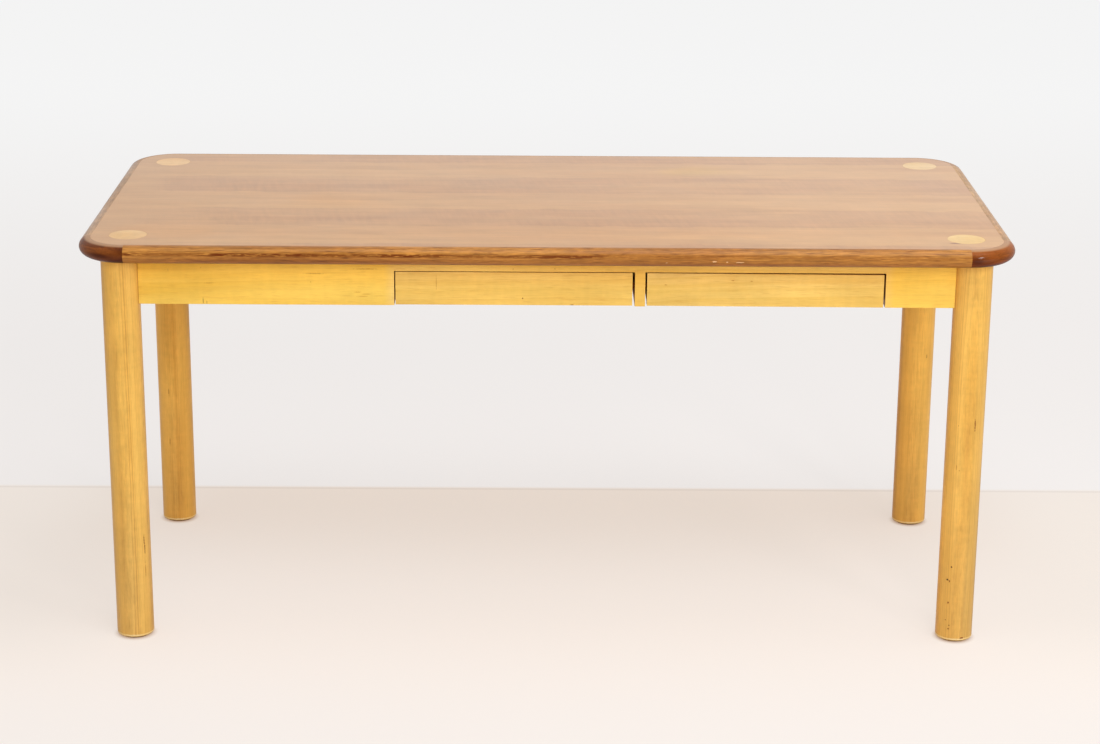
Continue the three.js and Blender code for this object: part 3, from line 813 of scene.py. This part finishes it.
# Buttons hold the top down: small blocks of hardwood, each with a tongue in an apron's groove and a
# screw up into the top. They slide in the groove when the top swells and shrinks.
button_ease = 0.0008
button_screw_in = 0.013
buttons = {
    "front_button_1": along_depth,
    "front_button_2": along_depth,
    "back_button_1": -along_depth,
    "back_button_2": -along_depth,
    "left_button": along_length,
    "right_button": -along_length,
}
for node, inward in buttons.items():
    low, high, middle = span(node)
    dress_eased(node, "block", button_ease, box_maple, inward, 30)
    half_run = abs((high - low).dot(inward)) / 2
    place = middle + inward * (half_run - button_screw_in)
    drive_screws(f"{node}_screw", [Vector((place.x, place.y, low.z))], -upright)


# The top is a veneered panel. Its face is laid with leaves of fine straight-grained brown veneer,
# turned over one after the other like the pages of a book, so that every second leaf looks darker.
# Round blind seats near its corners take the inlaid discs.
joint_ease = 0.00015
corner_steps = 24
seat_clearance = 0.00005
leaf_width = 0.125
leaf_seam = 0.041
leaf_rise = 0.0006

panel_low, panel_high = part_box("top_panel")
block_low, block_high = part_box("back_right_corner_block")
front_low, front_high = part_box("front_lipping")
corner_radius = block_high.x - block_low.x
lipping_width = front_high.y - front_low.y
corner_centre = Vector((block_low.x, block_low.y, 0))


def rounded_outline(inset, height):
    """The panel's outline, drawn in by an inset."""
    radius = corner_radius - lipping_width - inset
    points = []
    for turn, (across, deep) in enumerate([(1, 1), (-1, 1), (-1, -1), (1, -1)]):
        centre = across * corner_centre.x, deep * corner_centre.y
        points += arc(*centre, radius, 90 * turn, 90 * turn + 90, corner_steps)
    return [(x, y, height) for x, y in points]


top_brown = timber(
    leg_maple, "c7955c bd8952 8a5a34", slot="top_veneer", heart=(0.02, 0.32, 0.0), ring_width=0.009,
    lean=0.006, wander=0.035, ring_edge=2.0, ring_depth=0.05, streak_depth=0.12, fibre_depth=0.05,
    fleck_depth=0.05, mottle=0.3, curl=0.05, speckle=0.0, drift=0.0, shine=0.5, roughness=0.305,
    scuffs=0.012, bump=0.0, coat=0.1, coat_roughness=0.2, worn=0.0,
)
turned_leaf = (0.885, 0.83, 0.84, 1)
turned_leaf_from = (-0.74, -0.68)
fringe_depth = 0.03
dash_depth = 0.2
haze = (0.077, 0.077, 0.077)
haze_slant = 0.35
haze_depths = (-0.55, 0.6)
ripple_pitch = 0.009
ripple_slant = 0.16
ripple_stretch = 0.12
ripple_depth = 0.3
least_ripple = 0.16
turned_ripple = 0.5
untouched = (1, 1, 1, 1)
# Where the veneer is rippled, and its warm and dull clouds: across, in depth, both reaches, tone
ripples = [(-0.57, 0.075, 0.09, 0.04), (-0.55, -0.17, 0.1, 0.045)]
ripples += [(-0.38, -0.17, 0.12, 0.03), (0.47, -0.2, 0.05, 0.02)]
glows = [
    (-0.38, -0.02, 0.12, 0.07, (1.05, 1.0, 0.84)), (0.29, 0.225, 0.08, 0.05, (1.0, 1.02, 0.72)),
    (-0.66, -0.26, 0.1, 0.06, (1.06, 1.0, 0.84)), (0.1, -0.26, 0.7, 0.05, (1.04, 1.0, 0.9)),
    (-0.1, 0.12, 0.1, 0.06, (0.93, 0.95, 1.02)), (0.72, 0.14, 0.06, 0.12, (0.95, 0.95, 1.02)),
]
spot_raggedness, spot_edge = 1.2, (0.8, 1.9)
bruise = ((0.696, -0.3125, panel_high.z), (0.015, 0.005, 0.01), tint("8e5c38"))


def soft_spot(place, middle, reach):
    """A cloudy area about a place, fading outwards."""
    share = (place - middle) / reach
    return ramp(cloud(place, 14, 3) * spot_raggedness + share.calc("LENGTH"), *spot_edge, 1.0, 0.0)


def top_spot(place, across, depth, *reach):
    return soft_spot(place, (across, depth, panel_high.z), (*reach, 1))


def leaf_number(depth):
    """Which leaf a place lies in, counted from a seam."""
    return ((depth - leaf_seam) / leaf_width).calc("FLOOR")


def book_match(place):
    """Where a point of the top lay in the flitch: each leaf is turned over against the last."""
    folded = (place[1] - leaf_seam).calc("PINGPONG", leaf_width)
    return put(place.tree, "CombineXYZ", {0: place[0], 1: folded, 2: leaf_number(place[1]) * leaf_rise})


def hazed(place, colour):
    """The lacquer's fine scratches, which pale the top more towards its back right corner."""
    return colour + haze * ramp(place[0] * haze_slant + place[1], *haze_depths)


def leaf_tones(place, colour):
    """The tone of each leaf, with its broken dashes, its ripples and its warm and dull clouds."""
    across, depth = place[0], place[1]
    wavering = (cloud(place * (0.3, 1, 1), 60, 3) - 0.5) * fringe_depth + depth
    dark_side = 1.0 - leaf_number(wavering).calc("PINGPONG", 1.0)
    dark_side = dark_side * ramp(across, *turned_leaf_from)
    dark_side = dark_side * ramp(cloud(place * (0.35, 1, 1), 9, 5), 0.32, 0.6, 0.2, 1.0)
    tone = blend(dark_side, untouched, turned_leaf)
    for *spot, warmth in glows:
        tone = blend(top_spot(place, *spot), tone, tone * warmth)
    rippled = dark_side * turned_ripple
    for spot in ripples:
        rippled = rippled.calc("MAXIMUM", top_spot(place, *spot))
    slanted = {0: depth * ripple_slant + across, 1: depth * ripple_stretch}
    wave = cloud(put(place.tree, "CombineXYZ", slanted), 1 / ripple_pitch, 1) - 0.5
    ripple = wave * ripple_depth * (rippled + least_ripple) + 1.0
    shading = (cloud(place * (0.11, 1, 1), 190, 3) - 0.5) * dash_depth + ripple
    return hazed(place, colour * tone * shading)


levels = [(joint_ease, panel_low.z), (0, panel_low.z + joint_ease)]
levels += [(0, panel_high.z - joint_ease), (joint_ease, panel_high.z)]
seats = []
for corner in corner_names:
    low, high, middle = span(f"{corner}_inlay_disc")
    radius = (high.x - low.x) / 2 + seat_clearance
    seat = [(0, low.z), (radius, low.z), (radius, high.z + radius), (0, high.z + radius)]
    seats.append(turned(seat, middle.xy))
slab = carved(lofted([rounded_outline(*level) for level in levels]), seats)
figure = {"marks": [bruise], "lay": book_match, "shade": leaf_tones}
veneer = wood("laid_veneer", top_brown, along_length, (0, 0, 0), **figure)
show("top_panel_veneered", slab, veneer, "top_veneer", "top_panel")


# Solid brown hardwood lippings edge the panel on four sides, worked to a full half-round nose. They
# are glued on flush and have long dark streaks. The sitter's edge has lost a few chips of finish.
lipping_flat = 0.0015
nose_steps = 32
lipping_turn = 35
lipping_brown = timber(
    leg_maple, "bd8139 a26527 64300c", kind="wood", slot="lipping_wood", heart=(0.03, 0.05, 0.0),
    ring_width=0.006, lean=0.008, wander=0.03, ring_edge=1.5, ring_depth=0.22, streak_depth=0.45,
    fibre_depth=0.3, fleck_depth=0.6, mottle=0.42, curl=0.12, speckle=0.18, drift=0.1,
    roughness=0.36, shine=0.2, coat=0.12, coat_roughness=0.2, bump=0.04, worn=0.0,
)
# The side and back lippings are given paler, greyer tones than the front one, as a painted sheen of the
# light they catch at a glancing angle
edge_tones = {"front": "", "right": "caa272 ba8c5e 8c6038"}
edge_tones |= {"back": "bc9268 aa7e56 7c5434", "left": "bc9268 aa7e56 7c5434"}
vein_height = 0.7185
vein_reach = (0.0046, 0.0008)
vein_wander = 0.006
vein_fade = (0.0, 0.22, 1.0, 0.35)
vein_stain = tint("6a2e04")
fine_streaks = 1.1
# Painted shade under the nose of each lipping, and a darker painted shade along its lower edge
underside_heights = (0.7165, 0.706)
underside_painted_shade = (0.87, 0.8, 0.66)
foot_heights = (0.7045, 0.7015)
nose_foot_painted_shade = tint("8a4c1c")
foot_depth = 0.8
chip_bare = tint("dcb07c")
# Chips of the front nose: across, height, half width, half height
front_chips = [
    (0.2805, 0.7112, 0.0055, 0.0016), (0.302, 0.7105, 0.0025, 0.001),
    (0.3237, 0.71, 0.009, 0.0011), (0.20, 0.7085, 0.0025, 0.0008),
]
chip_depth = 0.003


def vein_and_painted_shade(place, colour):
    """A band of dark dashes that wanders along the middle of the nose and comes and goes, with painted shade
    under the nose and darker painted shade along its lower edge.
    """
    level = place * (1, 1, 0)
    middle = (cloud(level, 3.2, 3) - 0.5) * vein_wander + vein_height
    fine = ramp(cloud(place * (0.14, 0.14, 1), 640, 3), 0.42, 0.56)
    dashes = fine.calc("MAXIMUM", ramp(cloud(place * (0.07, 0.07, 1), 520), 0.46, 0.58))
    strength = ramp(cloud(level, 5, 3), 0.34, 0.54, 0.5, 1.0) * ramp(place[0], *vein_fade)
    vein = ramp(abs(place[2] - middle), *vein_reach) * (dashes * strength)
    colour = colour * ((cloud(place * (0.09, 0.09, 1), 520, 4) - 0.5) * fine_streaks + 1.0)
    colour = blend(ramp(place[2], *underside_heights), colour, colour * underside_painted_shade)
    colour = blend(ramp(place[2], *foot_heights) * foot_depth, colour, nose_foot_painted_shade)
    return blend(vein, colour, vein_stain)


def edge_section(inset):
    """The lipping's section as (out, up) pairs from the glue line, drawn in by an inset."""
    low, high = panel_low.z + inset, panel_high.z - inset
    middle, half = (low + high) / 2, (high - low) / 2
    deep = lipping_width - lipping_flat - inset
    nose = [
        (lipping_flat + deep * cos(angle), middle + half * sin(angle))
        for angle in [pi * (0.5 - step / nose_steps) for step in range(nose_steps + 1)]
    ]
    return [(0, high - joint_ease), (joint_ease, high), *nose, (joint_ease, low), (0, low + joint_ease)]


for number, side in enumerate(("front", "right", "back", "left")):
    node = f"{side}_lipping"
    long_side = side in ("front", "back")
    run = along_length if long_side else along_depth
    low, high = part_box(node)
    half = (high - low).dot(run) / 2
    stations = [(-half, joint_ease), (joint_ease - half, 0), (half - joint_ease, 0), (half, joint_ease)]
    strip = lofted([[(x, -out, up) for out, up in edge_section(inset)] for x, inset in stations])
    turn = 90 * number
    glued_at = Matrix.Translation((0, -(panel_high.y if long_side else panel_high.x), 0))
    strip.transform(Matrix.Rotation(radians(turn), 4, "Z") @ glued_at)
    chips = front_chips if side == "front" else ()
    marks = [on_front(*chip, chip_bare, chip_depth, front_low.y) for chip in chips]
    looks = timber(lipping_brown, edge_tones[side])
    dress(node, "worked", strip, looks, run, lipping_turn + turn, marks=marks, shade=vein_and_painted_shade)


# At each corner a block of dark reddish-brown hardwood carries the nose round. It is sawn and shaped
# from the solid with its grain across the corner, so that much of it is end grain that has drunk the
# lacquer and looks dull.
corner_brown = timber(
    lipping_brown, "8c4c1e 66300e 361204", slot="corner_wood", heart=(0.04, 0.03, 0.0),
    ring_width=0.009, lean=0.1, ring_depth=0.4, streak_depth=0.3, fleck_depth=0.2, speckle=0.1,
    roughness=0.35, shine=0.1, coat=0.06, coat_roughness=0.13,
)
# The front right block is redder, and a sleeve has polished it: middle, reach, coat
sleeve_polish = ((0.737, -0.366, 0.7175), (0.026, 0.03, 0.0085), 0.9)
redder_block = timber(corner_brown, "ae621e 8a4410", polish=sleeve_polish)
heart_stain = tint("451804")
heart_depth = 0.85
# A painted sheen on each block's top edge: where it comes in, its tone and strength
sheen_heights = (0.7272, 0.7294)
painted_sheen_tone = tint("b28a68")
painted_sheen_depth = 0.85
# Painted shade under each block's nose
shaded_heights = (0.716, 0.703)
shaded_tone = (0.72, 0.5, 0.3)
# Where the dark heart of the tree shows in each front block: middle, reach
block_hearts = {
    "front_left": [
        ((-0.752, -0.362, 0.713), (0.027, 0.03, 0.005)),
        ((-0.722, -0.373, 0.704), (0.02, 0.03, 0.0052)),
    ],
    "front_right": [
        ((0.724, -0.372, 0.714), (0.026, 0.03, 0.0085)),
        ((0.74, -0.372, 0.703), (0.04, 0.04, 0.0056)),
    ],
}


def heartwood_and_painted_light(place, colour):
    """A block's dark heartwood, painted shade on its underside, and a painted sheen that pales its top edge
    like the veneer.
    """
    for middle, reach in block_hearts.get(corner, ()):
        colour = blend(soft_spot(place, middle, reach) * heart_depth, colour, heart_stain)
    colour = blend(ramp(place[2], *shaded_heights), colour, colour * shaded_tone)
    return blend(ramp(place[2], *sheen_heights) * painted_sheen_depth, colour, painted_sheen_tone)


inner = corner_radius - lipping_width
quarter = pi / 2
ease_angle = joint_ease / corner_radius
stations = [(0, joint_ease), (ease_angle, 0)]
stations += [(quarter * step / corner_steps, 0) for step in range(1, corner_steps)]
stations += [(quarter - ease_angle, 0), (quarter, joint_ease)]
for turn, corner in enumerate(("back_right", "back_left", "front_left", "front_right")):
    node = f"{corner}_corner_block"
    middle = span(node)[2]
    centre = Vector([copysign(*pair) for pair in zip(corner_centre, middle)])
    rings = []
    for angle, inset in stations:
        way = Vector((cos(angle + turn * quarter), sin(angle + turn * quarter), 0))
        rings.append([centre + way * (inner + out) + upright * up for out, up in edge_section(inset)])
    across = Vector((copysign(1, -middle.x * middle.y), 1, 0)).normalized()
    looks = redder_block if corner == "front_right" else corner_brown
    dress(node, "shaped", lofted(rings), looks, across, 60 * turn, shade=heartwood_and_painted_light)


# A round disc of pale maple is let into the top over each leg, glued and levelled with the veneer.
# Each is from a board of its own tone.
disc_ease = 0.0001
inlay_maple = timber(
    leg_maple, "e7be81 dcae6e b98748", slot="inlay_wood", heart=(0.03, 0.2, 0.0), ring_width=0.004,
    ring_depth=0.2, mottle=0.3, shine=0.5, roughness=0.36, bump=0.02,
)
disc_tones = ("", "e5c07d dcb46b", "dfbc85 d6b074", "e6bb82 dbab6f")
glue_line = 0.0011
glue_stain = tint("a8743c")
glue_depth = 0.6


def glued(place, colour):
    """The disc's rim, darkened by the glue."""
    off_middle = ((place - middle) * (1, 1, 0)).calc("LENGTH")
    edge = ramp(off_middle, radius - glue_line, radius)
    return blend(edge * glue_depth, hazed(place, colour), glue_stain)


for corner, tones in zip(corner_names, disc_tones):
    node = f"{corner}_inlay_disc"
    low, high, middle = span(node)
    radius = (high.x - low.x) / 2
    outline = [(0, low.z), (radius, low.z), (radius, high.z - disc_ease), (radius - disc_ease, high.z)]
    disc = turned([*outline, (0, high.z)], middle.xy)
    dress(node, "let_in", disc, timber(inlay_maple, tones), along_length, shade=glued)


# The desk stands on a pale floor that turns to a grey-white backdrop behind it. A lens sees both lit
# in part from themselves, so that they stay pale and still take the desk's soft shadow. Seen from
# below the floor is clear.
floor_half = 30.0
floor_near = tint("f4ede8")
# The floor's tones under the desk and behind it, and between which depths each comes in; the darker one
# under the desk is a painted shadow of the desk
floor_tones = [(tint("fbf1e9"), -0.8, -0.25), (tint("efe2d7"), -0.14, 0.46)]
# Paler paint beside the desk, outside its painted shadow, and where it comes in
floor_beside, beside_widths, beside_depths = tint("f3eae2"), (0.6, 1.05), (-0.65, -0.15)
backdrop_tones, backdrop_depths = (tint("f4f0ee"), tint("fcfcfc")), (0.6, 5.0)
backdrop_line = (0.466, 0.484)
crease_half_width = (0.002, 0.007)
crease_shade = 0.92
own_glow = 0.7
far_glow = 0.82
contact_reach = 0.009
contact_tone = (0.6, 0.42, 0.27, 1)
bounce = 0.78
ambient = 0.65
studio_white = tint("efeeed")
room_front = 0.08
room_turn = (-0.7, 0.2)

floor = set_down("floor", bpy.data.meshes.new("floor"))
floor_corners = [(x * floor_half, y * floor_half, 0) for x, y in ((-1, -1), (1, -1), (1, 1), (-1, 1))]
floor.data.from_pydata(floor_corners, [], [(0, 1, 2, 3)])


def looked_along(tree):
    """Whether a ray comes from the lens, and whether it comes from there, a mirror or a glass."""
    kinds = ("Is Camera Ray", "Is Glossy Ray", "Is Transmission Ray")
    from_lens, mirrored, through = put(tree, "LightPath", out=kinds)
    return from_lens, from_lens.calc("MAXIMUM", mirrored).calc("MAXIMUM", through)


floor_paint, surface, place = new_finish("floor_paint")
from_lens, seen = looked_along(place.tree)
depth = place[1]
near_part = floor_near
for tone, *depths in floor_tones:
    near_part = blend(ramp(depth, *depths), near_part, tone)
beside = ramp(abs(place[0]), *beside_widths) * ramp(depth, *beside_depths)
near_part = blend(beside, near_part, floor_beside)
far_part = blend(ramp(depth, *backdrop_depths), *backdrop_tones)
paint = blend(ramp(depth, *backdrop_line), near_part, far_part)
paint = paint * ramp(abs(depth - backdrop_line[0]), *crease_half_width, crease_shade, 1.0)
glow = ramp(depth, *backdrop_depths, own_glow, far_glow)
# Near the feet the floor's glow is darkened and warmed as a painted contact shadow
open_part = put(place.tree, "AmbientOcclusion", {"Distance": contact_reach}, "AO", samples=8)
feed(surface, {
    "Base Color": paint * ((1.0 - glow) * seen + (1.0 - seen) * bounce),
    "Emission Color": paint * (seen * glow) * blend(open_part, contact_tone, untouched),
    "Emission Strength": 1.0,
    "Alpha": 1.0 - put(place.tree, "NewGeometry", out="Backfacing"),
    "Roughness": 0.9,
    "Specular IOR Level": 0.0,
})
floor.data.materials.append(floor_paint)

world = bpy.data.worlds.new("studio")
scene.world = world
world.use_nodes = True
tree = world.node_tree
from_lens, seen = looked_along(tree)
heading = put(tree, "TexCoord", out="Generated")[1]
room = ramp(heading, *room_turn, room_front, 1.0).calc("MAXIMUM", from_lens)
strength = seen * room + (1.0 - seen) * ambient
feed(tree.nodes["Background"], {"Color": studio_white, "Strength": strength})


def lamp(name, place, power, size, size_y, mirrored=True):
    """A flat lamp at a place, turned towards the middle of the desk."""
    made = set_down(name, bpy.data.lights.new(name, "AREA"))
    made.visible_glossy = mirrored
    made.data.energy = power
    made.data.shape = "RECTANGLE"
    made.data.size = size
    made.data.size_y = size_y
    made.location = place
    made.rotation_euler = (desk_middle - Vector(place)).to_track_quat("-Z", "Y").to_euler()


desk_middle = Vector((0, 0, 0.6))
lamp("front_softbox", (0.75, -3.7, 1.9), 61, 1.6, 1.2, mirrored=False)
lamp("side_softbox", (2.133, -2.57, 2.201), 14, 0.6, 0.55)
lamp("ceiling", (0.8, -0.6, 4.0), 66, 3.0, 3.0)


# The camera stands where the photograph was taken from, a little above the desk. It looks down on
# the top, and is turned and rolled by less than a degree.
camera_place = Vector((-0.0193, -4.5461, 1.8155))
yaw, pitch, roll = radians(0.338), radians(17.2973), radians(0.4008)

camera = set_down("camera", bpy.data.cameras.new("camera"))
camera.matrix_world = (
    Matrix.Translation(camera_place)
    @ Matrix.Rotation(-yaw, 4, "Z")
    @ Matrix.Rotation(pi / 2 - pitch, 4, "X")
    @ Matrix.Rotation(roll, 4, "Z")
)
camera.data.sensor_fit = "HORIZONTAL"
camera.data.sensor_width = 36.0
camera.data.lens = 84.04
scene.camera = camera
scene.view_settings.view_transform = "Standard"
